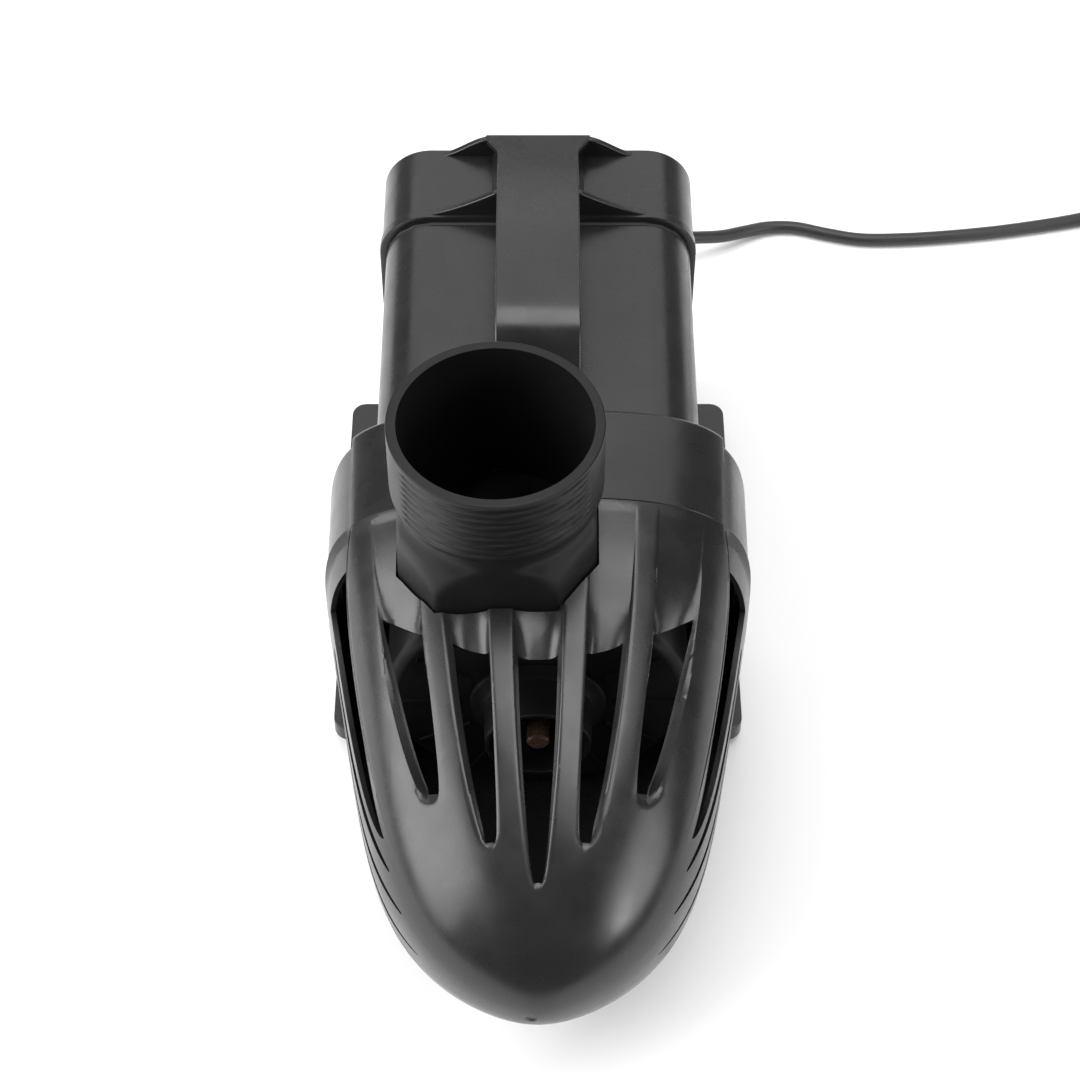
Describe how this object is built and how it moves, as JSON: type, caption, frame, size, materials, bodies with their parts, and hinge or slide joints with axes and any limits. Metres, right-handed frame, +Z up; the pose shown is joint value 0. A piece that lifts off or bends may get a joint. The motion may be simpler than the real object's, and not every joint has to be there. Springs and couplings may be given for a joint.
{
  "type": "submersible pond pump",
  "caption": "Black submersible circulation pump with a slotted helmet strainer, upright threaded outlet, square motor body, strap handle, flat base and power cord.",
  "frame": {"origin": "centre of the body's footprint, under the middle of its box, on the surface that it stands on; the cord is not counted", "axes": "+Z up along the outlet, +Y from the strainer's nose to the motor's end cap, +X to the right of someone looking along +Y"},
  "size_m": [0.5531, 0.5505, 0.228],
  "materials": {
    "shell_black": "satin moulded black plastic with soft broad highlights",
    "volute_black": "moulded black plastic, a little duller than the shell",
    "plate_grey": "dark grey moulded plastic",
    "seal_rubber": "matte black rubber",
    "cord_rubber": "black rubber cord sheath, low sheen",
    "screw_steel": "stainless steel",
    "shaft_ceramic": "polished brown ceramic",
    "rotor_magnet": "dark sealed magnet",
    "stator_iron": "stacked steel laminations",
    "winding_copper": "enamelled copper wire",
    "plug_brass": "plain brass"
  },
  "bodies": {
    "pump_body": {"rear_shroud": "shell_black", "motor_housing": "shell_black", "rear_cap": "shell_black", "base_plate": "shell_black", "cord_gland": "shell_black", "gland_nut": "shell_black", "volute_casing": "volute_black", "suction_ring": "volute_black", "bearing_plate": "plate_grey", "rotor_can": "plate_grey", "thermal_cutout": "plate_grey", "volute_o_ring": "seal_rubber", "can_o_ring": "seal_rubber", "cap_gasket": "seal_rubber", "thrust_washer": "seal_rubber", "strain_relief": "seal_rubber", "foot_left_front": "seal_rubber", "foot_left_rear": "seal_rubber", "foot_right_front": "seal_rubber", "foot_right_rear": "seal_rubber", "power_cord": "cord_rubber", "cord_coil": "cord_rubber", "plug_body": "cord_rubber", "plug_strain_relief": "cord_rubber", "volute_screw_1": "screw_steel", "volute_screw_2": "screw_steel", "volute_screw_3": "screw_steel", "volute_screw_4": "screw_steel", "cap_screw_1": "screw_steel", "cap_screw_2": "screw_steel", "cap_screw_3": "screw_steel", "cap_screw_4": "screw_steel", "base_screw_1": "screw_steel", "base_screw_2": "screw_steel", "base_screw_3": "screw_steel", "base_screw_4": "screw_steel", "handle_screw_1": "screw_steel", "handle_screw_2": "screw_steel", "front_bush": "shaft_ceramic", "rear_bush": "shaft_ceramic", "stator_core": "stator_iron", "front_winding": "winding_copper", "rear_winding": "winding_copper", "plug_blade_1": "plug_brass", "plug_blade_2": "plug_brass", "plug_earth_pin": "plug_brass"},
    "rotating_group": {"rotor_shaft": "shaft_ceramic", "magnet_rotor": "rotor_magnet", "impeller": "volute_black", "impeller_nut": "screw_steel"},
    "strainer_cage": {"front_cage": "shell_black"}
  },
  "joints": [
    {"name": "rotor_spin", "type": "hinge", "parent": "pump_body", "child": "rotating_group", "pos_m": [0, 0, 0.088], "axis": [0, 1, 0], "continuous": true},
    {"name": "cage_slide", "type": "slide", "parent": "pump_body", "child": "strainer_cage", "axis": [0, -1, 0], "range_m": [0, 0.12]}
  ]
}
